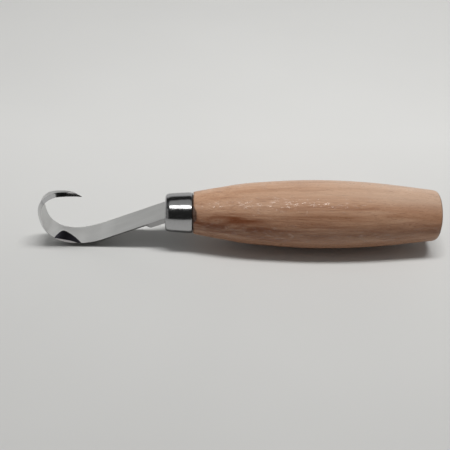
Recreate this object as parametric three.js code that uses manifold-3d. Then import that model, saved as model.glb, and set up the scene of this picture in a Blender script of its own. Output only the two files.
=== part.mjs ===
// Hook knife for hollowing spoons and bowls: a bent blade with one bevel, a steel ferrule
// and a turned beech handle with a glued-in tang. Millimetres, +Z up.
//
// The tool lies as it does on a table, on the handle's belly and on the bottom of the hook.
// It is modelled round the handle's axis and lifted onto the table at the end:
//   X  along the handle, 0 where the wood starts behind the ferrule, + towards the butt
//   Y  across the blade, from the cutting edge (-) to the spine (+)
//   Z  up, in the plane of the hook
import * as THREE from 'three';
import { mergeVertices } from 'three/addons/utils/BufferGeometryUtils.js';
import Module from 'manifold-3d';

// Clearance kept between pieces that touch on the real tool.
const GAP = 0.3;
const ROUND_STEPS = 6;

// Handle
const HANDLE_LENGTH = 115;
const NECK_RADIUS = 9.9;
const BELLY_RADIUS = 16.1;
const BUTT_RADIUS = 11.9;
const NECK_ROUND = 0.4;
const BUTT_ROUND = 1.2;
const HANDLE_SIDES = 64;
const HANDLE_STEPS = 34;
// Stations of the turned outline between neck and butt: distance from the neck, radius.
const HANDLE_STATIONS = [
  [0, NECK_RADIUS],
  [12.5, 12.2],
  [28, 14.5],
  [56, BELLY_RADIUS],
  [84, 15.2],
  [HANDLE_LENGTH, BUTT_RADIUS],
];

// Ferrule: a drawn cap whose front lip is turned in round the blade
const FERRULE_FRONT = -13;
const FERRULE_REAR = -GAP;
const FERRULE_FRONT_RADIUS = 8.8;
const FERRULE_REAR_RADIUS = 9.525;
const FERRULE_WALL = 0.8;
const FERRULE_MOUTH_RADIUS = 7.4;
const FERRULE_NOSE_ROUND = 1.1;
const FERRULE_RIM_ROUND = 0.5;
const FERRULE_CROWN = 0.26;
const FERRULE_CROWN_POWER = 7;
const FERRULE_WALL_STEPS = 16;
const FERRULE_SIDES = 72;

// Tenon inside the ferrule, and the drilled hole that takes the tang
const TENON_FRONT = -10;
const TENON_FRONT_RADIUS = FERRULE_FRONT_RADIUS - FERRULE_WALL - GAP;
const TENON_REAR_RADIUS = FERRULE_REAR_RADIUS - FERRULE_WALL - GAP;
const BORE_RADIUS = 5.5;
const BORE_END = 52;
const DRILL_POINT = 2.5;
const BORE_SIDES = 40;

// Blade strip; it starts just inside the ferrule's mouth
const BLADE_START = -12.2;
const BLADE_WIDTH = 13.2;
const HALF_WIDTH = BLADE_WIDTH / 2;
const BLADE_THICKNESS = 3;
const TIP_THICKNESS = 1.4;
const EDGE_THICKNESS = 0.12;
const CORNER_CHAMFER = 0.3;
const BEVEL_ANGLE = THREE.MathUtils.degToRad(43.5);
const RICASSO_LENGTH = 9.2;
const PLUNGE_LENGTH = 2.4;
const TIP_LENGTH = 6;
const TIP_POWER = 0.75;
const TIP_BLUNTNESS = 0.03;
const BEVEL_SHARE = 0.9;
const CHAMFER_SHARE = 0.2;
// Width of the strip where it tapers: distance from the blade's start, width.
const WIDTH_STATIONS = [
  [36, BLADE_WIDTH],
  [50, 10.9],
  [62, 9.4],
  [74, 7.4],
  [84, 4.4],
  [92, 2.8],
  [98, 2],
];
// From the bottom of the hook on, the spine side leans in towards the hook's middle.
const LEAN = THREE.MathUtils.degToRad(5.3);
const LEAN_START = 44;
const LEAN_LENGTH = 14;

// Blade line, seen from the cutting edge side: a straight shank that runs down from the
// blade's start, then arcs of the inner face, each with its radius and the degrees it turns.
const SHANK_SLOPE = THREE.MathUtils.degToRad(23.8);
const SHANK_LENGTH = 33.6;
const HOOK_ARCS = [
  { radius: 28.8, turn: 34.2 },
  { radius: 11.9, turn: 69.6 },
  { radius: 31.5, turn: 11.4 },
  { radius: 11.3, turn: 82.6 },
  { radius: 60, turn: 9.3 },
];
const SHANK_STEPS = 18;
const ARC_STEP = 1.1;

// Tang: the strip bends level inside the ferrule, steps in to a shoulder and runs into the handle
const TANG_BEND_RADIUS = 4.5;
const TANG_BEND_STEPS = 4;
const SHOULDER_STEP = 0.1;
const TANG_WIDTH = 7;
const TANG_END_WIDTH = 4.5;
const TANG_END = 48;
const TANG_STEPS = 6;

const wasm = await Module();
wasm.setup();

function toSolid(geometry) {
  const bare = geometry.clone();
  bare.deleteAttribute('normal');
  bare.deleteAttribute('uv');
  const merged = mergeVertices(bare, 1e-4);
  const vertProperties = new Float32Array(merged.attributes.position.array);
  const triVerts = new Uint32Array(merged.index.array);
  return new wasm.Manifold(new wasm.Mesh({ numProp: 3, vertProperties, triVerts }));
}

function toGeometry(solid) {
  const mesh = solid.getMesh();
  const geometry = new THREE.BufferGeometry();
  geometry.setAttribute('position', new THREE.BufferAttribute(mesh.vertProperties, 3));
  geometry.setIndex(new THREE.BufferAttribute(mesh.triVerts, 1));
  geometry.computeVertexNormals();
  return geometry;
}

// A profile holds (radius, X) points; the lathe turns it round the handle's axis.
function turned(profile, sides) {
  const geometry = new THREE.LatheGeometry(profile, sides);
  geometry.rotateZ(-Math.PI / 2);
  return geometry;
}

// Quarter round of a profile's corner, from one tangent point to the other.
function quarterRound(centreRadius, centreX, size, fromDegrees) {
  const points = [];
  for (let step = 0; step <= ROUND_STEPS; step += 1) {
    const angle = THREE.MathUtils.degToRad(fromDegrees + (90 * step) / ROUND_STEPS);
    const radius = centreRadius + size * Math.cos(angle);
    points.push(new THREE.Vector2(radius, centreX + size * Math.sin(angle)));
  }
  return points;
}

// ---- Blade ----

// The blade line is the inner face's path in the hook's plane, from the tang's end to the
// tip. A heading is the angle below -X, and "travelled" counts from the blade's start.
function bladeLine() {
  const bendLength = TANG_BEND_RADIUS * SHANK_SLOPE;
  const tangLength = TANG_END - BLADE_START - TANG_BEND_RADIUS * Math.sin(SHANK_SLOPE);
  const line = [];
  const at = { x: TANG_END, z: 0, heading: 0, travelled: -bendLength - tangLength };
  const mark = () => line.push({ ...at });
  const run = (length, turn, steps) => {
    const stepTurn = turn / steps;
    const chord = turn === 0 ? length / steps : (2 * length * Math.sin(stepTurn / 2)) / turn;
    for (let step = 0; step < steps; step += 1) {
      at.x -= chord * Math.cos(at.heading - stepTurn / 2);
      at.z -= chord * Math.sin(at.heading - stepTurn / 2);
      at.heading -= stepTurn;
      at.travelled += length / steps;
      mark();
    }
  };
  mark();
  run(tangLength, 0, TANG_STEPS);
  run(bendLength, -SHANK_SLOPE, TANG_BEND_STEPS);
  run(SHANK_LENGTH, 0, SHANK_STEPS);
  for (const arc of HOOK_ARCS) {
    const turn = THREE.MathUtils.degToRad(arc.turn);
    run(arc.radius * turn, turn, Math.ceil((arc.radius * turn) / ARC_STEP));
  }
  return line;
}

// Smooth curve through the width stations, level before the first of them.
function taperedWidth(travelled) {
  const last = WIDTH_STATIONS.length - 1;
  if (travelled <= WIDTH_STATIONS[0][0]) return BLADE_WIDTH;
  const following = WIDTH_STATIONS.findIndex(([at]) => at >= travelled);
  const span = (following === -1 ? last : following) - 1;
  const slopeAt = (station) => {
    const [beforeAt, beforeWidth] = WIDTH_STATIONS[Math.max(station - 1, 0)];
    const [afterAt, afterWidth] = WIDTH_STATIONS[Math.min(station + 1, last)];
    return station === 0 ? 0 : (afterWidth - beforeWidth) / (afterAt - beforeAt);
  };
  const [startAt, startWidth] = WIDTH_STATIONS[span];
  const [endAt, endWidth] = WIDTH_STATIONS[span + 1];
  const length = endAt - startAt;
  const t = Math.min((travelled - startAt) / length, 1);
  const eased = THREE.MathUtils.lerp(startWidth, endWidth, t * t * (3 - 2 * t));
  const leaving = slopeAt(span) * length * t * (1 - t) ** 2;
  const arriving = slopeAt(span + 1) * length * t * t * (1 - t);
  return eased + leaving - arriving;
}

function stripWidth(travelled, tipAt) {
  const tipShare = THREE.MathUtils.clamp((tipAt - travelled) / TIP_LENGTH, TIP_BLUNTNESS, 1);
  return taperedWidth(travelled) * tipShare ** TIP_POWER;
}

// Thickness falls evenly to the tip, and near the tip the bevel leaves less than that.
function stripThickness(travelled, tipAt, width) {
  const distal = THREE.MathUtils.lerp(BLADE_THICKNESS, TIP_THICKNESS, Math.max(travelled, 0) / tipAt);
  const leftByBevel = EDGE_THICKNESS + BEVEL_SHARE * width * Math.tan(BEVEL_ANGLE);
  return Math.min(distal, leftByBevel);
}

// Seven-cornered section of the ground blade, as [across, outward] pairs. The bevel rises
// from the cutting edge to its shoulder on the outer face; the ricasso has none.
function bladeSection(travelled, tipAt) {
  const width = stripWidth(travelled, tipAt);
  const thickness = stripThickness(travelled, tipAt, width);
  const chamfer = Math.min(CORNER_CHAMFER, CHAMFER_SHARE * thickness, CHAMFER_SHARE * width);
  const ground = THREE.MathUtils.smoothstep(travelled, RICASSO_LENGTH, RICASSO_LENGTH + PLUNGE_LENGTH);
  const bevelRun = (thickness - EDGE_THICKNESS) / Math.tan(BEVEL_ANGLE);
  const spine = width - HALF_WIDTH;
  const shoulder = THREE.MathUtils.lerp(chamfer, bevelRun, ground) - HALF_WIDTH;
  const edgeHeight = THREE.MathUtils.lerp(thickness - chamfer, EDGE_THICKNESS, ground);
  const leanShare = THREE.MathUtils.clamp((travelled - LEAN_START) / LEAN_LENGTH, 0, 1);
  const rise = Math.tan(LEAN * leanShare);
  const corners = [
    [-HALF_WIDTH, 0],
    [spine - chamfer, 0],
    [spine, chamfer],
    [spine, thickness - chamfer],
    [spine - chamfer, thickness],
    [shoulder, thickness],
    [-HALF_WIDTH, edgeHeight],
  ];
  return corners.map(([across, outward]) => [across, outward - rise * (across + HALF_WIDTH)]);
}

// Section of the tang, with the same seven corners, grown on every side by a margin.
function tangSection(x, margin) {
  const share = (TANG_END - x) / (TANG_END - BLADE_START);
  const side = THREE.MathUtils.lerp(TANG_END_WIDTH, TANG_WIDTH, share) / 2 + margin;
  const top = BLADE_THICKNESS + margin;
  return [
    [-side, -margin],
    [side - CORNER_CHAMFER, -margin],
    [side, CORNER_CHAMFER - margin],
    [side, top - CORNER_CHAMFER],
    [side - CORNER_CHAMFER, top],
    [CORNER_CHAMFER - side, top],
    [-side, top - CORNER_CHAMFER],
  ];
}

// A section placed at a point of the line; outward is away from the hook's middle.
function placedRing(point, section) {
  return section.map(([across, outward]) => new THREE.Vector3(
    point.x + outward * Math.sin(point.heading),
    across,
    point.z - outward * Math.cos(point.heading),
  ));
}

// Closed body through a row of rings that all have the same number of corners.
function ringLoft(rings) {
  const corners = rings[0].length;
  const positions = rings.flat().flatMap((corner) => corner.toArray());
  const indices = [];
  for (let ring = 0; ring + 1 < rings.length; ring += 1) {
    for (let corner = 0; corner < corners; corner += 1) {
      const a = ring * corners + corner;
      const b = ring * corners + ((corner + 1) % corners);
      indices.push(a, b, b + corners, a, b + corners, a + corners);
    }
  }
  const last = (rings.length - 1) * corners;
  for (let corner = 1; corner + 1 < corners; corner += 1) {
    indices.push(0, corner + 1, corner);
    indices.push(last, last + corner, last + corner + 1);
  }
  const geometry = new THREE.BufferGeometry();
  geometry.setAttribute('position', new THREE.Float32BufferAttribute(positions, 3));
  geometry.setIndex(indices);
  geometry.computeVertexNormals();
  return geometry;
}

// The line is set at the height where the bottom of the hook touches the table while the
// handle's belly touches it too.
function settled(line, tipAt) {
  const heights = line.flatMap((point) => placedRing(point, bladeSection(point.travelled, tipAt))
    .map((corner) => corner.z));
  const lowest = Math.min(...heights);
  return line.map((point) => ({ ...point, z: point.z - lowest - BELLY_RADIUS }));
}

const freeLine = bladeLine();
const tipAt = freeLine[freeLine.length - 1].travelled;
const line = settled(freeLine, tipAt);
const tangLine = line.slice(0, TANG_STEPS + 1);
const shoulderPoint = tangLine[TANG_STEPS];

function bladeGeometry() {
  const tang = tangLine.map((point) => placedRing(point, tangSection(point.x, 0)));
  const stepped = { ...shoulderPoint, x: shoulderPoint.x - SHOULDER_STEP };
  const blade = [stepped, ...line.slice(TANG_STEPS + 1)]
    .map((point) => placedRing(point, bladeSection(point.travelled, tipAt)));
  return ringLoft([...tang, ...blade]);
}

// ---- Handle, ferrule and glue ----

// Wooden grip with its tenon and blind bore, turned as one profile from axis to axis.
function handleGeometry() {
  const stations = HANDLE_STATIONS.map(([x, radius]) => new THREE.Vector2(radius, x));
  const outline = new THREE.SplineCurve(stations).getPoints(HANDLE_STEPS)
    .filter((point) => point.y > NECK_ROUND && point.y < HANDLE_LENGTH - BUTT_ROUND);
  const profile = [
    new THREE.Vector2(0, BORE_END),
    new THREE.Vector2(BORE_RADIUS, BORE_END - DRILL_POINT),
    new THREE.Vector2(BORE_RADIUS, TENON_FRONT),
    new THREE.Vector2(TENON_FRONT_RADIUS, TENON_FRONT),
    new THREE.Vector2(TENON_REAR_RADIUS, 0),
    ...quarterRound(NECK_RADIUS - NECK_ROUND, NECK_ROUND, NECK_ROUND, -90),
    ...outline,
    ...quarterRound(BUTT_RADIUS - BUTT_ROUND, HANDLE_LENGTH - BUTT_ROUND, BUTT_ROUND, 0),
    new THREE.Vector2(0, HANDLE_LENGTH),
  ];
  return turned(profile, HANDLE_SIDES);
}

// Thin cap, slightly wider at the rear, with a rounded nose, a faint crown that falls off
// towards both ends and a lip turned in at the mouth.
function ferruleGeometry() {
  const noseRadius = FERRULE_FRONT_RADIUS - FERRULE_NOSE_ROUND;
  const rimRadius = FERRULE_REAR_RADIUS - FERRULE_RIM_ROUND;
  const lipBack = FERRULE_FRONT + FERRULE_WALL;
  const nose = quarterRound(noseRadius, FERRULE_FRONT + FERRULE_NOSE_ROUND, FERRULE_NOSE_ROUND, -90);
  const rim = quarterRound(rimRadius, FERRULE_REAR - FERRULE_RIM_ROUND, FERRULE_RIM_ROUND, 0);
  const wall = [];
  for (let step = 1; step < FERRULE_WALL_STEPS; step += 1) {
    const share = step / FERRULE_WALL_STEPS;
    const point = nose[ROUND_STEPS].clone().lerp(rim[0], share);
    point.x += FERRULE_CROWN * (1 - Math.abs(2 * share - 1) ** FERRULE_CROWN_POWER);
    wall.push(point);
  }
  const profile = [
    new THREE.Vector2(FERRULE_REAR_RADIUS - FERRULE_WALL, FERRULE_REAR),
    new THREE.Vector2(FERRULE_FRONT_RADIUS - FERRULE_WALL, lipBack),
    new THREE.Vector2(FERRULE_MOUTH_RADIUS, lipBack),
    new THREE.Vector2(FERRULE_MOUTH_RADIUS, FERRULE_FRONT),
    ...nose,
    ...wall,
    ...rim,
    new THREE.Vector2(FERRULE_REAR_RADIUS - FERRULE_WALL, FERRULE_REAR),
  ];
  return turned(profile, FERRULE_SIDES);
}

// Glue that fills the bore round the tang.
function adhesiveGeometry() {
  const radius = BORE_RADIUS - GAP;
  const profile = [
    new THREE.Vector2(0, TENON_FRONT),
    new THREE.Vector2(radius, TENON_FRONT),
    new THREE.Vector2(radius, BORE_END - DRILL_POINT - GAP),
    new THREE.Vector2(0, BORE_END - GAP),
  ];
  const first = { ...tangLine[0], x: TANG_END + GAP };
  const last = { ...shoulderPoint, x: BLADE_START };
  const hollow = [first, last].map((point) => placedRing(point, tangSection(point.x, GAP)));
  return toGeometry(toSolid(turned(profile, BORE_SIDES)).subtract(toSolid(ringLoft(hollow))));
}

// ---- Assembly ----

function piece(name, geometry, color, roughness, metalness) {
  const mesh = new THREE.Mesh(geometry, new THREE.MeshStandardMaterial({ color, roughness, metalness }));
  mesh.name = name;
  return mesh;
}

const knife = new THREE.Group();
knife.add(piece('blade', bladeGeometry(), 0xa9a8a4, 0.34, 1));
knife.add(piece('ferrule', ferruleGeometry(), 0xc9c9c8, 0.12, 1));
knife.add(piece('handle', handleGeometry(), 0xc79b78, 0.62, 0));
knife.add(piece('tang_adhesive', adhesiveGeometry(), 0xb08a4c, 0.4, 0));

// The origin is the middle of the footprint, on the table.
const box = new THREE.Box3().setFromObject(knife, true);
const middle = box.getCenter(new THREE.Vector3());
knife.position.set(-middle.x, -middle.y, -box.min.z);

const model = new THREE.Group();
model.add(knife);
export default model;
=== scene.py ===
import math
from collections import namedtuple

import bmesh
import bpy
from mathutils import Matrix, Vector


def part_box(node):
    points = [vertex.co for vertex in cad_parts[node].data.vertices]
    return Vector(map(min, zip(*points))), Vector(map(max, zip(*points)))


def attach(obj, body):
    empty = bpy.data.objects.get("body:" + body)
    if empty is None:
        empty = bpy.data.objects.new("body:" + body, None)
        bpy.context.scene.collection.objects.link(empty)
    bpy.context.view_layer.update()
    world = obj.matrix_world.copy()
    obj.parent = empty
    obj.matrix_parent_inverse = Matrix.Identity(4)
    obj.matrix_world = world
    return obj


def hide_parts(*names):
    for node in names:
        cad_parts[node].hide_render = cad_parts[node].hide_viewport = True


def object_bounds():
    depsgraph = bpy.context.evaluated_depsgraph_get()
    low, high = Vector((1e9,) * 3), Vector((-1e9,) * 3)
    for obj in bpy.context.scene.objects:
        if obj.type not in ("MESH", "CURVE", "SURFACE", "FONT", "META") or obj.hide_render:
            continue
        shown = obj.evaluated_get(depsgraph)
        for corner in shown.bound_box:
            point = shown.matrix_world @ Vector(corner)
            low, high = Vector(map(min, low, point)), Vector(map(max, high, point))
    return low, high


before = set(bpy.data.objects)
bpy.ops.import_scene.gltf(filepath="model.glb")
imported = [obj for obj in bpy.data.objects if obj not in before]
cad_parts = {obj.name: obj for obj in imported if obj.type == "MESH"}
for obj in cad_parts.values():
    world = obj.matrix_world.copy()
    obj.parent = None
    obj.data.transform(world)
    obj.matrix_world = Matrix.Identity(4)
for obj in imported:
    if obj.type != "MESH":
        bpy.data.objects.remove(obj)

MM = 0.001
cad_low, cad_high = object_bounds()
handle_low, handle_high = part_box("handle")

# ---- Driving dimensions, in millimetres and degrees ----

# Handle
HANDLE_LENGTH = 115.0
NECK_RADIUS = 9.9
BELLY_RADIUS = 16.1
BUTT_RADIUS = 11.9
NECK_ROUND = 0.4
BUTT_ROUND = 1.2
# Outline of the grip: distance from the neck, radius
HANDLE_STATIONS = [
    (0.0, NECK_RADIUS),
    (12.5, 12.2),
    (28.0, 14.5),
    (56.0, BELLY_RADIUS),
    (84.0, 15.2),
    (HANDLE_LENGTH, BUTT_RADIUS),
]
SPAN_STEPS = 22
HANDLE_SIDES = 160
END_FLAT_SHARE = 0.6

# Tenon and bore inside the handle
TENON_FRONT = -10.0
TENON_FRONT_RADIUS = 7.7
TENON_REAR_RADIUS = 8.425
BORE_RADIUS = 5.5
BORE_END = 52.0
DRILL_POINT = 2.5

# Ferrule
FERRULE_FRONT = -13.0
FERRULE_REAR = -0.3
FERRULE_FRONT_RADIUS = 8.8
FERRULE_REAR_RADIUS = 9.525
FERRULE_WALL = 0.8
FERRULE_MOUTH_RADIUS = 7.4
FERRULE_NOSE_ROUND = 1.1
FERRULE_RIM_ROUND = 0.5
FERRULE_CROWN = 0.26
FERRULE_CROWN_POWER = 7
FERRULE_WALL_STEPS = 40
FERRULE_SIDES = 192
ROUND_STEPS = 8

# Edges that meet at more than this angle stay crisp
SHARP_ANGLE = math.radians(32)
# Points closer than this become one
WELD_DISTANCE = 0.0001

# Blade strip; it starts just inside the ferrule's mouth
BLADE_START = -12.2
BLADE_WIDTH = 13.2
HALF_WIDTH = BLADE_WIDTH / 2
BLADE_THICKNESS = 3.0
TIP_THICKNESS = 1.4
EDGE_THICKNESS = 0.12
CORNER_CHAMFER = 0.3
BEVEL_ANGLE = math.radians(43.5)
RICASSO_LENGTH = 9.2
PLUNGE_LENGTH = 2.4
TIP_LENGTH = 6.0
TIP_POWER = 0.75
TIP_BLUNTNESS = 0.03
BEVEL_SHARE = 0.9
CHAMFER_SHARE = 0.2
# Width of the strip where it tapers: distance from the blade's start, width
WIDTH_STATIONS = [
    (36.0, BLADE_WIDTH),
    (50.0, 10.9),
    (62.0, 9.4),
    (74.0, 7.4),
    (84.0, 4.4),
    (92.0, 2.8),
    (98.0, 2.0),
]
# From the bottom of the hook on, the spine side leans in towards the hook's middle
LEAN = math.radians(5.3)
LEAN_START = 44.0
LEAN_LENGTH = 14.0

# Blade line: a straight shank running down from the blade's start, then the inner face's
# arcs, each a radius and the degrees that it turns
SHANK_SLOPE = math.radians(23.8)
SHANK_LENGTH = 33.6
HOOK_ARCS = [(28.8, 34.2), (11.9, 69.6), (31.5, 11.4), (11.3, 82.6), (60.0, 9.3)]
LINE_STEP = 0.4

# Tang
TANG_BEND_RADIUS = 4.5
TANG_WIDTH = 7.0
TANG_END_WIDTH = 4.5
TANG_END = 48.0
TANG_STEPS = 24
TANG_BEND_STEPS = 8
SHOULDER_STEP = 0.1

# Polished dish at the bottom of the hook, along the cutting edge; its finish holds a painted dark
# reflection, and the lip along the edge a painted bright one
DISH_START = 43.9
DISH_PEAK = 53.0
DISH_END = 57.1
DISH_REACH = 7.1
DISH_RISE_POWER = 1.7
DISH_FALL_POWER = 2.0
DISH_DEPTH = 0.06
DISH_SLOPE = 2.0
LIP_START = 45.6
LIP_END = 56.7
LIP_REACH = 1.5

# Camera
LENS = 56.5
SENSOR = 36.0
CAMERA_ELEVATION = math.radians(39.75)
CAMERA_AZIMUTH = math.radians(-2.175)
CAMERA_ROLL = math.radians(2.018)
CAMERA_DISTANCE = 332.6
CAMERA_AIM = (14.96, -4.0, -3.97)
CAMERA_CLIP = (10.0, 10000.0)

# Lamps pointing straight down at a place in the row frame; the card and its wider glow
# only show in reflections
LAMP_COLOUR = (1.0, 0.995, 0.98)
KEY_AIM = (130.0, 16.0)
KEY_HEIGHT = 900.0
KEY_SIZE = (620.0, 130.0)
KEY_POWER = 6.9
CARD_AIM = (-30.0, -200.0)
CARD_HEIGHT = 600.0
CARD_SIZE = (430.0, 75.0)
CARD_POWER = 0.40
GLOW_AIM = (-30.0, -212.0)
GLOW_HEIGHT = 610.0
GLOW_SIZE = (430.0, 185.0)
GLOW_POWER = 0.95

# The room that the steel mirrors: brightness of its parts, and the directions where they end
ROOM_COLOUR = (1.0, 1.0, 0.985)
WALL_LIGHT = 0.66
WALL_TOP = (math.sin(math.radians(26)), math.sin(math.radians(39)))
WALL_SIDE = (-0.25, 0.1)
LEFT_LIGHT = 0.55
LEFT_TOP = (0.70, 0.76)
LEFT_SIDE = (-0.60, -0.50)
CEILING_LIGHT = 0.40
CEILING_START = (0.87, 0.925)
DIM_LIGHT = 0.026

# Floor, with painted shade: a little darker between two places along Y, towards the front
FLOOR_RADIUS = 1500.0
FLOOR_SIDES = 96
FLOOR_PAINTED_SHADE = 0.23
FLOOR_SHADE_FROM = 90.0
FLOOR_SHADE_TO = -130.0

# Each zone of a finish runs from its first number to its second, in millimetres.
# On the strip: distance from the blade's start, or distance inside an outline
# Painted light on the bend, which is also rougher there
WORKED_AND_LIGHT_RISE = (27, 44)
WORKED_AND_LIGHT_FALL = (62, 55)
# The dish's painted dark reflection changes tone between these
DISH_REFLECTION_CHANGE = (52, 45)
DISH_OUTLINE = (-0.12, 0.12)
# Outline of the lip's painted bright reflection
LIP_OUTLINE = (-0.15, 0.2)
# The bevel is bright between these; elsewhere it has a painted dark reflection
HOOK_BRIGHT_RISE = (50, 66)
HOOK_BRIGHT_FALL = (88, 86.3)
# On ferrule and handle: distance from the neck, distance across and height above the axis
# Painted shade on the ferrule's underside, standing for the mirrored shadow below it: height above the
# axis
UNDER_SHADE_LEVEL = (-5.5, -3.6)
# Redder streak near the neck, carried on as painted shade along the lower front
STREAK_SHADE_FADE = (30, 80)
STREAK_SHADE_FOOT = (-4, 3)
STREAK_SHADE_CLIMB = (0, 40)
STREAK_SHADE_CLIMB_HEIGHT = 3.4
STREAK_SHADE_FALL = (45, 75)
STREAK_SHADE_FALL_HEIGHT = 4.0
STREAK_SHADE_TOP = (4.5, 8.0)
STREAK_SHADE_FRONT = (-2.0, 3.0)
# Fainter, wider painted shade on the lower front
LOWER_SHADE_TOP = (11.0, 15.0)
LOWER_SHADE_START = (12, 30)
# Painted sheen on the upper back of the handle
SHEEN_ACROSS = (-9.5, -5.0)
SHEEN_LEVEL = (0, 4)
SHEEN_ALONG = (15, 90)
STAIN_REACH = (0.1, 0.5)
STAIN_EDGE = (-0.3, 0.4)
PATCH_FOOT = (1.5, 4.0)
PATCH_TOP = (8.5, 6.5)
PATCH_FRONT = (0.0, -3.0)
PATCH_REACH = 1.5
END_GRAIN = (HANDLE_LENGTH - 0.9, HANDLE_LENGTH - 0.2)

# Linear colours; a pair is the dark and the light of one finish
FINE_STEEL = (0.50, 0.50, 0.50), (0.63, 0.63, 0.62)
BROAD_STEEL = (0.49, 0.49, 0.485), (0.65, 0.65, 0.64)
# Painted light on the bend
BEND_PAINTED_LIGHT = (0.97, 0.97, 0.96)
# Painted dark reflection in the dish
DISH_PAINTED_REFLECTION = (0.055, 0.053, 0.066), (0.15, 0.145, 0.18)
# Painted bright reflection on the lip
LIP_PAINTED_REFLECTION = (0.93, 0.90, 0.90)
BRIGHT_BEVEL = (0.56, 0.56, 0.56), (0.64, 0.64, 0.64)
# Bevel with a painted dark reflection
BEVEL_PAINTED_DARK = (0.12, 0.117, 0.115), (0.18, 0.177, 0.175)
FERRULE_STEEL = (0.385, 0.385, 0.39), (0.455, 0.455, 0.46)
# Painted shade for the ferrule's underside
UNDER_SHADE_DARK = (0.05, 0.045, 0.04)
DARK_BEECH = (0.410, 0.225, 0.135)
MID_BEECH = (0.575, 0.350, 0.225)
LIGHT_BEECH = (0.670, 0.440, 0.300)
PATCHY_BEECH = (0.46, 0.240, 0.138)
FIBRE_BROWN = (0.25, 0.120, 0.066)
FLECK_BROWN = (0.22, 0.105, 0.058)
# Redder streak and painted shade on the lower front
HEART_RED_AND_SHADE = (0.19, 0.062, 0.024)
# Painted sheen
SHEEN_PAINTED_BEECH = (0.60, 0.455, 0.355)
STAIN_BROWN = (0.050, 0.028, 0.020)
END_BEECH = (0.10, 0.055, 0.035), (0.26, 0.155, 0.10)
EPOXY_AMBER = (0.36, 0.20, 0.06), (0.55, 0.36, 0.13)
FLOOR_PAINT = (0.700, 0.700, 0.693), (0.720, 0.720, 0.713)
BLACK = (0.0, 0.0, 0.0)

# Where most of a noise texture's values lie
NOISE_SPAN = (0.3, 0.7)
# The ricasso's edge lies between the bevel's painted dark reflection, 0, and the bright bevel, 1
RICASSO_BRIGHTNESS = 0.45

LinePoint = namedtuple("LinePoint", "x z heading travelled")
# The tool drawing's own origin, in the row frame
origin = Vector((handle_low.x - TENON_FRONT * MM, 0, (handle_low.z + handle_high.z) / 2))


def placed(x, y, z):
    """A point of the tool drawing, in the row frame."""
    return origin + Vector((x, y, z)) * MM


def mix(a, b, share):
    return a + (b - a) * share


def clamped(value, low=0.0, high=1.0):
    return max(low, min(high, value))


def smooth_share(value, low, high):
    share = clamped((value - low) / (high - low))
    return share * share * (3 - 2 * share)


# ---- Mesh helpers ----

def loft(rings):
    """Skin over rings of the same number of points, with flat ends."""
    bm = bmesh.new()
    rows = [[bm.verts.new(point) for point in ring] for ring in rings]
    for row, following in zip(rows, rows[1:]):
        for i in range(len(row)):
            j = (i + 1) % len(row)
            bm.faces.new((row[i], row[j], following[j], following[i]))
    bm.faces.new(rows[0])
    bm.faces.new(reversed(rows[-1]))
    return bm


def turned(profile, sides):
    """Body turned round the handle's axis from (x, radius) points; radius 0 closes it."""
    bm = bmesh.new()
    rows = []
    for x, radius in profile:
        if radius == 0:
            rows.append([bm.verts.new(placed(x, 0, 0))] * sides)
            continue
        angles = [2 * math.pi * side / sides for side in range(sides)]
        rows.append([
            bm.verts.new(placed(x, radius * math.cos(angle), radius * math.sin(angle)))
            for angle in angles
        ])
    for row, following in zip(rows, rows[1:]):
        for i in range(sides):
            j = (i + 1) % sides
            corners = []
            for corner in (row[i], row[j], following[j], following[i]):
                if corner not in corners:
                    corners.append(corner)
            bm.faces.new(corners)
    return bm


def quarter_round(centre_x, centre_radius, size, from_degrees):
    """Quarter circle of (x, radius) points from one tangent point to the other."""
    points = []
    for step in range(ROUND_STEPS + 1):
        angle = math.radians(from_degrees + 90 * step / ROUND_STEPS)
        points.append((centre_x + size * math.sin(angle), centre_radius + size * math.cos(angle)))
    return points


def spline(stations, steps):
    """Smooth curve of (x, radius) points through all stations."""
    points = []
    last = len(stations) - 1
    for span in range(last):
        p0 = Vector(stations[max(span - 1, 0)])
        p1 = Vector(stations[span])
        p2 = Vector(stations[span + 1])
        p3 = Vector(stations[min(span + 2, last)])
        out, into = (p2 - p0) / 2, (p3 - p1) / 2
        for step in range(steps):
            t = step / steps
            cubic = (p1 - p2) * 2 + out + into
            square = (p2 - p1) * 3 - out * 2 - into
            points.append(tuple(cubic * t**3 + square * t**2 + out * t + p1))
    points.append(stations[-1])
    return points


def finished_piece(name, bm, materials, node):
    """Turns a bmesh into a shown piece that stands for a CAD node."""
    bmesh.ops.recalc_face_normals(bm, faces=bm.faces)
    for face in bm.faces:
        face.smooth = True
    for edge in bm.edges:
        if len(edge.link_faces) == 2:
            edge.smooth = edge.calc_face_angle(0) < SHARP_ANGLE
    mesh = bpy.data.meshes.new(name)
    bm.to_mesh(mesh)
    bm.free()
    for material in materials:
        mesh.materials.append(material)
    piece = bpy.data.objects.new(name, mesh)
    bpy.context.scene.collection.objects.link(piece)
    weighted = piece.modifiers.new("weighted_normals", "WEIGHTED_NORMAL")
    weighted.keep_sharp = True
    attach(piece, "root")
    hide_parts(node)
    return piece


# ---- Blade ----

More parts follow.
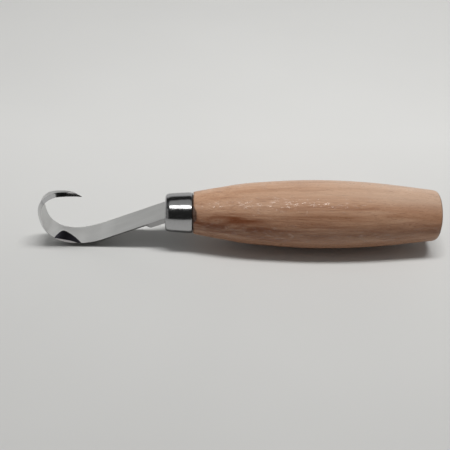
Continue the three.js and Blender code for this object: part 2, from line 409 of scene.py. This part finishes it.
def blade_line():
    """Path of the inner face from the tang's end to the tip, in the plane of the hook.

    A heading is the angle below -X, and travelled counts from the blade's start.
    """
    bend_length = TANG_BEND_RADIUS * SHANK_SLOPE
    tang_length = TANG_END - BLADE_START - TANG_BEND_RADIUS * math.sin(SHANK_SLOPE)
    line = [LinePoint(TANG_END, 0, 0, -bend_length - tang_length)]

    def run(length, turn, steps):
        step_turn = turn / steps
        chord = length / steps
        if turn:
            chord = 2 * length * math.sin(step_turn / 2) / turn
        for _ in range(steps):
            at = line[-1]
            middle = at.heading - step_turn / 2
            line.append(LinePoint(
                at.x - chord * math.cos(middle),
                at.z - chord * math.sin(middle),
                at.heading - step_turn,
                at.travelled + length / steps,
            ))

    run(tang_length, 0, TANG_STEPS)
    run(bend_length, -SHANK_SLOPE, TANG_BEND_STEPS)
    run(SHANK_LENGTH, 0, math.ceil(SHANK_LENGTH / LINE_STEP))
    for radius, degrees in HOOK_ARCS:
        turn = math.radians(degrees)
        run(radius * turn, turn, math.ceil(radius * turn / LINE_STEP))
    return line


def station_slope(station):
    """Change of width per millimetre at a width station; level at the first one."""
    if station == 0:
        return 0
    before = WIDTH_STATIONS[station - 1]
    after = WIDTH_STATIONS[min(station + 1, len(WIDTH_STATIONS) - 1)]
    return (after[1] - before[1]) / (after[0] - before[0])


def tapered_width(travelled):
    """Smooth curve through the width stations, level before the first of them."""
    if travelled <= WIDTH_STATIONS[0][0]:
        return BLADE_WIDTH
    span = 0
    while span < len(WIDTH_STATIONS) - 2 and WIDTH_STATIONS[span + 1][0] < travelled:
        span += 1
    (start_at, start_width), (end_at, end_width) = WIDTH_STATIONS[span:span + 2]
    length = end_at - start_at
    t = min((travelled - start_at) / length, 1)
    eased = mix(start_width, end_width, t * t * (3 - 2 * t))
    leaving = station_slope(span) * length * t * (1 - t) ** 2
    arriving = station_slope(span + 1) * length * t * t * (1 - t)
    return eased + leaving - arriving


def strip_width(travelled, tip_at):
    tip_share = clamped((tip_at - travelled) / TIP_LENGTH, TIP_BLUNTNESS, 1)
    return tapered_width(travelled) * tip_share**TIP_POWER


def strip_thickness(travelled, tip_at, width):
    distal = mix(BLADE_THICKNESS, TIP_THICKNESS, max(travelled, 0) / tip_at)
    left_by_bevel = EDGE_THICKNESS + BEVEL_SHARE * width * math.tan(BEVEL_ANGLE)
    return min(distal, left_by_bevel)


def settled(line, tip_at):
    """The line at the height where the bottom of the hook and the belly both touch the table."""
    lowest = min(
        point.z - out * math.cos(point.heading)
        for point in line
        for _, out in blade_corners(point.travelled, tip_at)
    )
    return [point._replace(z=point.z - lowest - BELLY_RADIUS) for point in line]


def dish_field(travelled, across):
    """Millimetres inside the dish's outline (+) or outside it (-)."""
    if travelled < DISH_PEAK:
        share = (DISH_PEAK - travelled) / (DISH_PEAK - DISH_START)
        height = 1 - share**DISH_RISE_POWER
    else:
        share = (travelled - DISH_PEAK) / (DISH_END - DISH_PEAK)
        height = 1 - share**DISH_FALL_POWER
    return DISH_REACH * height - across


def lip_field(travelled, across):
    """Millimetres inside the lip between the dish and the cutting edge, where a bright reflection is
    painted.
    """
    share = (travelled - LIP_START) / (LIP_END - LIP_START)
    return LIP_REACH * 4 * share * (1 - share) - across


# Sides of the strip's section in order; a side's number is that of the corner where it starts
SECTION_SIDES = ("inner", "spine", "outer", "bevel", "edge")
SIDE_STEPS = {"inner": 16, "spine": 3, "outer": 6, "bevel": 6, "edge": 1}
CORNER_SETBACKS = (0.03, 0.26, 0.26, 0.12, 0.03)
LARGEST_SETBACK_SHARE = 0.3
CORNER_STEPS = 4


def rounded_section(corners):
    """Points and side names round a five-cornered section whose corners are eased."""
    points = []
    sides = []
    count = len(corners)
    eased = []
    for index, corner in enumerate(corners):
        before = corners[index - 1] - corner
        after = corners[(index + 1) % count] - corner
        limit = LARGEST_SETBACK_SHARE * min(before.length, after.length)
        setback = min(CORNER_SETBACKS[index], limit)
        eased.append((corner + before.normalized() * setback, corner + after.normalized() * setback))
    for index, corner in enumerate(corners):
        start, end = eased[index]
        next_start = eased[(index + 1) % count][0]
        for step in range(CORNER_STEPS + 1):
            t = step / CORNER_STEPS
            points.append(start * (1 - t) ** 2 + corner * 2 * t * (1 - t) + end * t**2)
            sides.append(SECTION_SIDES[index - 1] if t < 0.5 else SECTION_SIDES[index])
        steps = SIDE_STEPS[SECTION_SIDES[index]]
        for step in range(1, steps):
            points.append(end.lerp(next_start, step / steps))
            sides.append(SECTION_SIDES[index])
    return points, sides


def blade_corners(travelled, tip_at):
    """Corners of the ground strip; the bevel rises from the edge to the outer face."""
    width = strip_width(travelled, tip_at)
    thickness = strip_thickness(travelled, tip_at, width)
    chamfer = min(CORNER_CHAMFER, CHAMFER_SHARE * thickness, CHAMFER_SHARE * width)
    ground = smooth_share(travelled, RICASSO_LENGTH, RICASSO_LENGTH + PLUNGE_LENGTH)
    bevel_run = (thickness - EDGE_THICKNESS) / math.tan(BEVEL_ANGLE)
    spine = width - HALF_WIDTH
    rise = math.tan(LEAN * clamped((travelled - LEAN_START) / LEAN_LENGTH))
    corners = [
        (-HALF_WIDTH, 0),
        (spine, 0),
        (spine, thickness),
        (mix(chamfer, bevel_run, ground) - HALF_WIDTH, thickness),
        (-HALF_WIDTH, mix(thickness - chamfer, EDGE_THICKNESS, ground)),
    ]
    return [Vector((across, out - rise * (across + HALF_WIDTH))) for across, out in corners]


def tang_corners(x):
    share = (TANG_END - x) / (TANG_END - BLADE_START)
    side = mix(TANG_END_WIDTH, TANG_WIDTH, share) / 2
    return [
        Vector((-side, 0)),
        Vector((side, 0)),
        Vector((side, BLADE_THICKNESS)),
        Vector((CORNER_CHAMFER - side, BLADE_THICKNESS)),
        Vector((-side, BLADE_THICKNESS - CORNER_CHAMFER)),
    ]


def ring_at(point, section):
    """Section points set square to the line; outward is away from the hook's middle."""
    sine, cosine = math.sin(point.heading), math.cos(point.heading)
    return [placed(point.x + out * sine, across, point.z - out * cosine) for across, out in section]


def dished(point, section, sides):
    """The section with its inner face hollowed where the dish is."""
    lowered = []
    for (across, out), side in zip(section, sides):
        depth = 0
        if side == "inner":
            inside = dish_field(point.travelled, across + HALF_WIDTH)
            depth = DISH_DEPTH * smooth_share(inside, 0, DISH_SLOPE)
        lowered.append(Vector((across, out + depth)))
    return lowered


def build_blade(ground_steel, polished_steel):
    free_line = blade_line()
    tip_at = free_line[-1].travelled
    line = settled(free_line, tip_at)
    tang = line[:TANG_STEPS + 1]
    shoulder = tang[-1]
    strip = [shoulder._replace(x=shoulder.x - SHOULDER_STEP)] + line[TANG_STEPS + 1:]
    rings = []
    places = []
    for point in tang:
        section, _ = rounded_section(tang_corners(point.x))
        rings.append(ring_at(point, section))
        places += [(point.travelled, across + HALF_WIDTH) for across, _ in section]
    for point in strip:
        section, sides = rounded_section(blade_corners(point.travelled, tip_at))
        section = dished(point, section, sides)
        rings.append(ring_at(point, section))
        places += [(point.travelled, across + HALF_WIDTH) for across, _ in section]
    bm = loft(rings)
    # The skin's faces run ring by ring, and the two end faces come after them
    strip_rings = range(len(tang), len(rings) - 1)
    for number, face in enumerate(bm.faces):
        ring, side = divmod(number, len(sides))
        if ring in strip_rings and sides[side] in ("bevel", "edge"):
            face.material_index = 1
    blade = finished_piece("blade_forged", bm, [ground_steel, polished_steel], "blade")
    store_places(blade.data, places)
    return blade


def store_places(mesh, places):
    """Keeps each vertex's place on the strip, so that the finish follows the bend."""
    along = mesh.attributes.new("strip_place", "FLOAT_VECTOR", "POINT")
    for index, (travelled, across) in enumerate(places):
        along.data[index].vector = (travelled, across, 0)
    for name, field in (("dish_field", dish_field), ("lip_field", lip_field)):
        inside = mesh.attributes.new(name, "FLOAT", "POINT")
        for index, (travelled, across) in enumerate(places):
            inside.data[index].value = field(travelled, across)


# ---- Handle and ferrule ----

def handle_profile():
    outline = [
        (x, radius) for x, radius in spline(HANDLE_STATIONS, SPAN_STEPS)
        if NECK_ROUND < x < HANDLE_LENGTH - BUTT_ROUND
    ]
    return [
        (BORE_END, 0),
        (BORE_END - DRILL_POINT, BORE_RADIUS),
        (TENON_FRONT, BORE_RADIUS),
        (TENON_FRONT, TENON_FRONT_RADIUS),
        (0, TENON_REAR_RADIUS),
        *quarter_round(NECK_ROUND, NECK_RADIUS - NECK_ROUND, NECK_ROUND, -90),
        *outline,
        *quarter_round(HANDLE_LENGTH - BUTT_ROUND, BUTT_RADIUS - BUTT_ROUND, BUTT_ROUND, 0),
        (HANDLE_LENGTH, BUTT_RADIUS * END_FLAT_SHARE),
        (HANDLE_LENGTH, 0),
    ]


def ferrule_profile():
    """Cap with a rounded nose, a faint crown and an eased rear rim."""
    nose = quarter_round(
        FERRULE_FRONT + FERRULE_NOSE_ROUND,
        FERRULE_FRONT_RADIUS - FERRULE_NOSE_ROUND,
        FERRULE_NOSE_ROUND,
        -90,
    )
    rim = quarter_round(
        FERRULE_REAR - FERRULE_RIM_ROUND,
        FERRULE_REAR_RADIUS - FERRULE_RIM_ROUND,
        FERRULE_RIM_ROUND,
        0,
    )
    wall = []
    for step in range(1, FERRULE_WALL_STEPS):
        share = step / FERRULE_WALL_STEPS
        x = mix(nose[-1][0], rim[0][0], share)
        radius = mix(nose[-1][1], rim[0][1], share)
        crown = FERRULE_CROWN * (1 - abs(2 * share - 1) ** FERRULE_CROWN_POWER)
        wall.append((x, radius + crown))
    lip_back = FERRULE_FRONT + FERRULE_WALL
    inner_rear = (FERRULE_REAR, FERRULE_REAR_RADIUS - FERRULE_WALL)
    return [
        inner_rear,
        (lip_back, FERRULE_FRONT_RADIUS - FERRULE_WALL),
        (lip_back, FERRULE_MOUTH_RADIUS),
        (FERRULE_FRONT, FERRULE_MOUTH_RADIUS),
        *nose,
        *wall,
        *rim,
        inner_rear,
    ]


def build_ferrule(material):
    bm = turned(ferrule_profile(), FERRULE_SIDES)
    bmesh.ops.remove_doubles(bm, verts=bm.verts, dist=WELD_DISTANCE * MM)
    return finished_piece("ferrule_cap", bm, [material], "ferrule")


def build_handle(material):
    bm = turned(handle_profile(), HANDLE_SIDES)
    return finished_piece("handle_turned", bm, [material], "handle")


# ---- Materials ----

# Colour sockets of the mix node
MIX_A, MIX_B, MIX_RESULT = 6, 7, 2


class Graph:
    """A material's node tree, with short ways to add and join nodes."""

    def __init__(self, name):
        self.material = bpy.data.materials.new(name)
        self.material.use_nodes = True
        self.tree = self.material.node_tree
        self.shader = self.tree.nodes["Principled BSDF"]

    def add(self, kind, settings=None, **inputs):
        node = self.tree.nodes.new(kind)
        for key, value in (settings or {}).items():
            setattr(node, key, value)
        for key, value in inputs.items():
            self.feed(node.inputs[key.replace("_", " ")], value)
        return node

    def feed(self, socket, value):
        if isinstance(value, bpy.types.NodeSocket):
            self.tree.links.new(value, socket)
        else:
            socket.default_value = value

    def set(self, **inputs):
        for key, value in inputs.items():
            self.feed(self.shader.inputs[key.replace("_", " ")], value)

    def millimetres(self, stretch=(1, 1, 1)):
        """Object coordinates in millimetres, squeezed along each axis by the stretch."""
        place = self.add("ShaderNodeTexCoord").outputs["Object"]
        scale = tuple(share / MM for share in stretch)
        return self.scaled(place, scale)

    def scaled(self, vector, scale):
        node = self.add("ShaderNodeVectorMath", {"operation": "MULTIPLY"})
        self.feed(node.inputs[0], vector)
        node.inputs[1].default_value = scale
        return node.outputs[0]

    def noise(self, vector, scale=1.0, detail=2.0, roughness=0.5):
        node = self.add(
            "ShaderNodeTexNoise", Vector=vector, Scale=scale, Detail=detail, Roughness=roughness,
        )
        return node.outputs["Fac"]

    def ranged(self, value, low, high, to_low=0.0, to_high=1.0):
        node = self.add("ShaderNodeMapRange", {"clamp": True})
        self.feed(node.inputs["Value"], value)
        node.inputs["From Min"].default_value = low
        node.inputs["From Max"].default_value = high
        node.inputs["To Min"].default_value = to_low
        node.inputs["To Max"].default_value = to_high
        return node.outputs["Result"]

    def math(self, operation, a, b):
        node = self.add("ShaderNodeMath", {"operation": operation})
        self.feed(node.inputs[0], a)
        self.feed(node.inputs[1], b)
        return node.outputs[0]

    def blended(self, share, a, b):
        """Mix of two colours, each a socket or three linear numbers."""
        node = self.add("ShaderNodeMix", {"data_type": "RGBA"})
        self.feed(node.inputs["Factor"], share)
        for index, colour in ((MIX_A, a), (MIX_B, b)):
            plain = isinstance(colour, tuple)
            self.feed(node.inputs[index], (*colour, 1) if plain else colour)
        return node.outputs[MIX_RESULT]

    def shaded(self, noise, pair):
        """Colour that goes from dark to light over the noise's usual span."""
        return self.ramp(noise, list(zip(NOISE_SPAN, pair)))

    def ramp(self, value, stops):
        node = self.add("ShaderNodeValToRGB", Fac=value)
        elements = node.color_ramp.elements
        while len(elements) < len(stops):
            elements.new(0.5)
        for element, (position, colour) in zip(elements, stops):
            element.position = position
            element.color = (*colour, 1)
        return node.outputs["Color"]

    def bump(self, height, distance, strength):
        node = self.add("ShaderNodeBump", Height=height, Strength=strength)
        node.inputs["Distance"].default_value = distance
        self.feed(self.shader.inputs["Normal"], node.outputs["Normal"])

    def attribute(self, name, output):
        return self.add("ShaderNodeAttribute", {"attribute_name": name}).outputs[output]

    def parts(self, vector):
        return self.add("ShaderNodeSeparateXYZ", Vector=vector).outputs

    def tool_place(self, vector):
        """Distance from the neck, across and above the handle's axis, in millimetres."""
        parts = self.parts(vector)
        from_neck = self.math("SUBTRACT", parts["X"], origin.x / MM)
        level = self.math("SUBTRACT", parts["Z"], origin.z / MM)
        return from_neck, parts["Y"], level


def ground_steel_material():
    """Satin ground steel: fine lines along the strip; a rougher bend with painted light, a polished
    dish with a painted dark reflection, and a painted bright reflection on the lip.
    """
    g = Graph("ground_steel")
    place = g.attribute("strip_place", "Vector")
    travelled = g.parts(place)["X"]
    lines = g.noise(g.scaled(place, (0.045, 5.0, 1)), detail=4, roughness=0.65)
    broad = g.noise(g.scaled(place, (0.05, 0.28, 1)), detail=3)
    smudge = g.noise(g.millimetres(), scale=0.16, detail=3)
    fine_tone = g.shaded(lines, FINE_STEEL)
    broad_tone = g.shaded(broad, BROAD_STEEL)
    tone = g.blended(0.35, fine_tone, broad_tone)
    worked_and_painted_light = g.math("MINIMUM", g.ranged(travelled, *WORKED_AND_LIGHT_RISE), g.ranged(travelled, *WORKED_AND_LIGHT_FALL))
    # Painted light on the bend
    tone = g.blended(worked_and_painted_light, tone, BEND_PAINTED_LIGHT)
    dish = g.ranged(g.attribute("dish_field", "Fac"), *DISH_OUTLINE)
    lip = g.ranged(g.attribute("lip_field", "Fac"), *LIP_OUTLINE)
    # Painted dark reflection in the dish
    dish_reflection_tone = g.blended(g.ranged(travelled, *DISH_REFLECTION_CHANGE), *DISH_PAINTED_REFLECTION)
    tone = g.blended(dish, tone, dish_reflection_tone)
    # Painted bright reflection on the lip
    tone = g.blended(lip, tone, LIP_PAINTED_REFLECTION)
    lined = g.ranged(lines, *NOISE_SPAN, 0.27, 0.35)
    satin = g.math("ADD", lined, g.ranged(smudge, 0.35, 0.7, 0, 0.05))
    satin = g.math("ADD", satin, g.math("MULTIPLY", worked_and_painted_light, 0.30))
    roughness = g.math("MULTIPLY", satin, g.ranged(dish, 0, 1, 1, 0.45))
    roughness = g.math("MAXIMUM", roughness, g.math("MULTIPLY", lip, 0.5))
    g.set(Base_Color=tone, Metallic=1.0, Roughness=roughness)
    g.bump(g.math("MULTIPLY", lines, g.ranged(dish, 0, 1, 1, 0.1)), 0.02 * MM, 0.5)
    return g.material


def polished_steel_material():
    """The honed bevel: nearly a mirror, with faint lines square to the edge; a painted dark reflection
    darkens it on the shank and at the tip, and partly on the ricasso.
    """
    g = Graph("polished_steel")
    place = g.attribute("strip_place", "Vector")
    travelled = g.parts(place)["X"]
    lines = g.noise(g.scaled(place, (4.0, 0.2, 1)), detail=3, roughness=0.6)
    bright = g.shaded(lines, BRIGHT_BEVEL)
    painted_dark_bevel = g.shaded(lines, BEVEL_PAINTED_DARK)
    rise = g.ranged(travelled, *HOOK_BRIGHT_RISE)
    hook = g.math("MINIMUM", rise, g.ranged(travelled, *HOOK_BRIGHT_FALL))
    ricasso_end = RICASSO_LENGTH + PLUNGE_LENGTH
    ricasso = g.ranged(travelled, ricasso_end, RICASSO_LENGTH, 0, RICASSO_BRIGHTNESS)
    # Painted dark reflection wherever the bevel isn't bright
    tone = g.blended(g.math("MAXIMUM", hook, ricasso), painted_dark_bevel, bright)
    g.set(Base_Color=tone, Metallic=1.0, Roughness=g.ranged(lines, *NOISE_SPAN, 0.05, 0.10))
    g.bump(lines, 0.01 * MM, 0.4)
    return g.material


def ferrule_material():
    """Bright polished steel with faint turning marks, a soft waviness and painted shade on the
    underside, where it mirrors the shadow below.
    """
    g = Graph("ferrule_steel")
    marks = g.noise(g.millimetres((9.0, 0.3, 0.3)), detail=3, roughness=0.6)
    waves = g.noise(g.millimetres(), scale=0.22, detail=1)
    wear = g.noise(g.millimetres(), scale=0.9, detail=4, roughness=0.7)
    tone = g.ramp(marks, [(0.25, FERRULE_STEEL[0]), (0.75, FERRULE_STEEL[1])])
    _, _, level = g.tool_place(g.millimetres())
    # Painted shade: the underside darkens where it would mirror the shadow below
    under = g.ranged(level, *UNDER_SHADE_LEVEL, 0.6, 0)
    painted_under_shade = g.math("MULTIPLY", under, g.ranged(wear, 0.3, 0.6, 0.7, 1))
    tone = g.blended(painted_under_shade, tone, UNDER_SHADE_DARK)
    worn = g.ranged(wear, 0.4, 0.75, 0.12, 0.18)
    roughness = g.math("ADD", worn, g.ranged(marks, *NOISE_SPAN, 0, 0.03))
    g.set(Base_Color=tone, Metallic=1.0, Roughness=roughness)
    height = g.math("ADD", g.math("MULTIPLY", marks, 0.02), waves)
    g.bump(height, 0.14 * MM, 0.5)
    return g.material


def swayed_grain(g):
    """Coordinates in millimetres that wander slightly, so that the grain isn't dead straight."""
    bend = g.noise(g.millimetres((0.02, 0.12, 0.12)), detail=2)
    sway = g.add("ShaderNodeVectorMath", {"operation": "ADD"})
    g.feed(sway.inputs[0], g.millimetres())
    shift = g.add("ShaderNodeCombineXYZ", Y=g.ranged(bend, 0, 1, -2, 2), Z=g.ranged(bend, 0, 1, -3, 3))
    g.feed(sway.inputs[1], shift.outputs[0])
    return sway.outputs[0]


def beech_material():
    """Straight-grained beech: soft growth bands, short ray flecks and small varnish glints, with
    painted shade on the lower front and painted sheen on the upper back.
    """
    g = Graph("beech")
    grain = swayed_grain(g)
    bands = g.noise(g.scaled(grain, (0.008, 0.42, 0.42)), detail=5, roughness=0.6)
    fibres = g.noise(g.scaled(grain, (0.05, 3.2, 3.2)), detail=4, roughness=0.7)
    flecks = g.noise(g.scaled(grain, (0.16, 2.4, 2.4)), detail=3, roughness=0.55)
    glints = g.noise(g.scaled(grain, (0.35, 1.5, 1.5)), detail=2, roughness=0.6)
    patches = g.noise(g.scaled(grain, (0.02, 0.07, 0.07)), detail=2)
    tone = g.ramp(bands, [(0.32, DARK_BEECH), (0.47, MID_BEECH), (0.68, LIGHT_BEECH)])
    tone = g.blended(g.ranged(patches, 0.38, 0.62, 0, 0.45), tone, PATCHY_BEECH)
    tone = g.blended(g.ranged(fibres, 0.35, 0.70, 0.35, 0), tone, FIBRE_BROWN)
    tone = g.blended(g.ranged(flecks, 0.55, 0.72, 0, 0.50), tone, FLECK_BROWN)
    # Redder streak and painted shade on the lower front
    tone = streak_and_lower_shade(g, grain, tone)
    # Painted sheen on the upper back
    tone = painted_sheen_back(g, tone)
    tone, stain = neck_and_butt(g, tone)
    oiled = g.ranged(fibres, *NOISE_SPAN, 0.36, 0.50)
    oiled = g.math("SUBTRACT", oiled, g.ranged(glints, 0.55, 0.64, 0, 0.24))
    roughness = g.math("ADD", oiled, g.math("MULTIPLY", stain, 0.1))
    g.set(Base_Color=tone, Roughness=roughness)
    g.set(Specular_IOR_Level=g.ranged(glints, 0.55, 0.64, 0.28, 1.0))
    height = g.math("SUBTRACT", fibres, g.ranged(flecks, 0.55, 0.72, 0, 0.5))
    g.bump(height, 0.10 * MM, 0.7)
    return g.material


def streak_and_lower_shade(g, grain, tone):
    """A redder streak from the neck, carried on as painted shade along the lower front, under a faint
    wider band of painted shade.
    """
    from_neck, across, level = g.tool_place(grain)
    fading = g.ranged(from_neck, *STREAK_SHADE_FADE, 1, 0.60)
    fading = g.math("MULTIPLY", fading, g.ranged(level, *STREAK_SHADE_FOOT, 0.6, 1))
    climb = g.ranged(from_neck, *STREAK_SHADE_CLIMB, 0, STREAK_SHADE_CLIMB_HEIGHT)
    rise = g.math("SUBTRACT", climb, g.ranged(from_neck, *STREAK_SHADE_FALL, 0, STREAK_SHADE_FALL_HEIGHT))
    below = g.ranged(g.math("SUBTRACT", level, rise), *STREAK_SHADE_TOP, 1, 0)
    front = g.ranged(across, *STREAK_SHADE_FRONT, 1, 0)
    ragged_edge = g.noise(g.scaled(grain, (0.02, 0.45, 0.45)), detail=4)
    ragged = g.ranged(ragged_edge, 0.30, 0.60, 0.35, 1)
    share = g.math("MULTIPLY", g.math("MULTIPLY", fading, below), g.math("MULTIPLY", front, ragged))
    # Fainter painted shade over the lower front
    lower_front_shade = g.ranged(level, *LOWER_SHADE_TOP, 0.26, 0)
    lower_front_shade = g.math("MULTIPLY", lower_front_shade, g.ranged(from_neck, *LOWER_SHADE_START))
    lower_front_shade = g.math("MULTIPLY", lower_front_shade, front)
    # Redder streak and painted shade blended in
    return g.blended(g.math("MAXIMUM", share, lower_front_shade), tone, HEART_RED_AND_SHADE)


def painted_sheen_back(g, tone):
    """Painted sheen: the upper side of the handle is paler and greyer, more so towards the butt."""
    from_neck, across, level = g.tool_place(g.millimetres())
    upper = g.math("MULTIPLY", g.ranged(across, *SHEEN_ACROSS), g.ranged(level, *SHEEN_LEVEL))
    share = g.math("MULTIPLY", upper, g.ranged(from_neck, *SHEEN_ALONG, 0.04, 0.50))
    # Painted sheen blended in
    return g.blended(share, tone, SHEEN_PAINTED_BEECH)


def neck_and_butt(g, tone):
    """Dark line and a small stain where wood meets ferrule, and darker end grain at the butt."""
    from_neck, across, level = g.tool_place(g.millimetres())
    ragged = g.noise(g.millimetres((0.1, 0.5, 0.5)), detail=3)
    patch = g.math("MULTIPLY", g.ranged(level, *PATCH_FOOT), g.ranged(level, *PATCH_TOP))
    patch = g.math("MULTIPLY", patch, g.ranged(across, *PATCH_FRONT))
    line_reach = g.ranged(ragged, 0.35, 0.75, *STAIN_REACH)
    reach = g.math("ADD", line_reach, g.math("MULTIPLY", patch, PATCH_REACH))
    stain = g.ranged(g.math("SUBTRACT", from_neck, reach), *STAIN_EDGE, 1, 0)
    tone = g.blended(g.math("MULTIPLY", stain, 0.85), tone, STAIN_BROWN)
    end = g.ranged(from_neck, *END_GRAIN)
    pores = g.noise(g.millimetres((0.5, 5, 5)), detail=3)
    end_tone = g.shaded(pores, END_BEECH)
    return g.blended(end, tone, end_tone), g.math("MAXIMUM", stain, end)


def epoxy_material():
    """Set glue: amber, a little cloudy, with small bubbles."""
    g = Graph("amber_epoxy")
    cloud = g.noise(g.millimetres(), scale=0.35, detail=4)
    bubbles = g.add("ShaderNodeTexVoronoi", Vector=g.millimetres(), Scale=1.3)
    tone = g.shaded(cloud, EPOXY_AMBER)
    g.set(Base_Color=tone, Roughness=g.ranged(cloud, *NOISE_SPAN, 0.28, 0.45))
    g.bump(bubbles.outputs["Distance"], 0.1 * MM, 0.4)
    return g.material


def floor_material():
    """Plain pale paint, faintly uneven, with painted shade that makes it a little darker towards the
    front.
    """
    g = Graph("pale_floor")
    uneven = g.noise(g.millimetres(), scale=0.008, detail=3)
    tone = g.shaded(uneven, FLOOR_PAINT)
    # Painted shade, darker towards the front
    front = g.ranged(g.parts(g.millimetres())["Y"], FLOOR_SHADE_TO, FLOOR_SHADE_FROM, FLOOR_PAINTED_SHADE, 0)
    tone = g.blended(front, tone, BLACK)
    g.set(Base_Color=tone, Roughness=g.ranged(uneven, *NOISE_SPAN, 0.55, 0.65))
    return g.material


# ---- Studio ----

def build_floor():
    bm = bmesh.new()
    bmesh.ops.create_circle(bm, cap_ends=True, segments=FLOOR_SIDES, radius=FLOOR_RADIUS * MM)
    mesh = bpy.data.meshes.new("floor")
    bm.to_mesh(mesh)
    bm.free()
    mesh.materials.append(floor_material())
    floor = bpy.data.objects.new("floor", mesh)
    bpy.context.scene.collection.objects.link(floor)
    floor.location.z = cad_low.z


def build_lamp(name, aim, height, size, power):
    data = bpy.data.lights.new(name, "AREA")
    data.shape = "RECTANGLE"
    data.size = size[0] * MM
    data.size_y = size[1] * MM
    data.energy = power
    data.color = LAMP_COLOUR
    lamp = bpy.data.objects.new(name, data)
    lamp.location = (aim[0] * MM, aim[1] * MM, height * MM)
    bpy.context.scene.collection.objects.link(lamp)
    return lamp


def build_lamps():
    """The long overhead lamp lights the room; the card and its glow only show in reflections."""
    key = build_lamp("overhead_lamp", KEY_AIM, KEY_HEIGHT, KEY_SIZE, KEY_POWER)
    key.visible_glossy = False
    card = build_lamp("mirror_card", CARD_AIM, CARD_HEIGHT, CARD_SIZE, CARD_POWER)
    card.visible_diffuse = False
    glow = build_lamp("card_glow", GLOW_AIM, GLOW_HEIGHT, GLOW_SIZE, GLOW_POWER)
    glow.visible_diffuse = False


def build_surroundings():
    """A dim room with a bright wall behind the table, a softer one at the left, a pale ceiling."""
    world = bpy.data.worlds.new("studio")
    world.use_nodes = True
    tree = world.node_tree
    parts = tree.nodes.new("ShaderNodeSeparateXYZ")
    tree.links.new(tree.nodes.new("ShaderNodeTexCoord").outputs["Generated"], parts.inputs[0])

    def ranged(axis, span, to_low, to_high):
        node = tree.nodes.new("ShaderNodeMapRange")
        tree.links.new(parts.outputs[axis], node.inputs["Value"])
        settings = {"From Min": span[0], "From Max": span[1], "To Min": to_low, "To Max": to_high}
        for socket, number in settings.items():
            node.inputs[socket].default_value = number
        return node.outputs["Result"]

    def joined(operation, a, b):
        node = tree.nodes.new("ShaderNodeMath")
        node.operation = operation
        tree.links.new(a, node.inputs[0])
        tree.links.new(b, node.inputs[1])
        return node.outputs[0]

    back_wall = joined("MULTIPLY", ranged("Z", WALL_TOP, 1, 0), ranged("Y", WALL_SIDE, 0, WALL_LIGHT))
    left_wall = joined("MULTIPLY", ranged("Z", LEFT_TOP, 1, 0), ranged("X", LEFT_SIDE, LEFT_LIGHT, 0))
    ceiling = ranged("Z", CEILING_START, DIM_LIGHT, CEILING_LIGHT)
    strength = joined("MAXIMUM", joined("MAXIMUM", back_wall, left_wall), ceiling)
    background = tree.nodes["Background"]
    background.inputs["Color"].default_value = (*ROOM_COLOUR, 1)
    tree.links.new(strength, background.inputs["Strength"])
    bpy.context.scene.world = world


def build_camera():
    """Camera on the cutting edge's side, looking down across the knife."""
    data = bpy.data.cameras.new("camera")
    data.lens = LENS
    data.sensor_width = SENSOR
    data.clip_start = CAMERA_CLIP[0] * MM
    data.clip_end = CAMERA_CLIP[1] * MM
    camera = bpy.data.objects.new("camera", data)
    back = Vector((
        math.sin(CAMERA_AZIMUTH) * math.cos(CAMERA_ELEVATION),
        -math.cos(CAMERA_AZIMUTH) * math.cos(CAMERA_ELEVATION),
        math.sin(CAMERA_ELEVATION),
    ))
    level = Vector((math.cos(CAMERA_AZIMUTH), math.sin(CAMERA_AZIMUTH), 0))
    upright = back.cross(level)
    right = level * math.cos(CAMERA_ROLL) + upright * math.sin(CAMERA_ROLL)
    up = back.cross(right)
    turn = Matrix((right, up, back)).transposed().to_4x4()
    camera.matrix_world = Matrix.Translation(placed(*CAMERA_AIM) + back * CAMERA_DISTANCE * MM) @ turn
    bpy.context.scene.collection.objects.link(camera)
    bpy.context.scene.camera = camera


def dress_adhesive():
    """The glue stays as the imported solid, with its own material."""
    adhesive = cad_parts["tang_adhesive"]
    adhesive.data.materials.clear()
    adhesive.data.materials.append(epoxy_material())


build_camera()
build_lamps()
build_surroundings()
build_floor()
build_blade(ground_steel_material(), polished_steel_material())
build_ferrule(ferrule_material())
build_handle(beech_material())
dress_adhesive()
bpy.context.scene.view_settings.view_transform = "Standard"
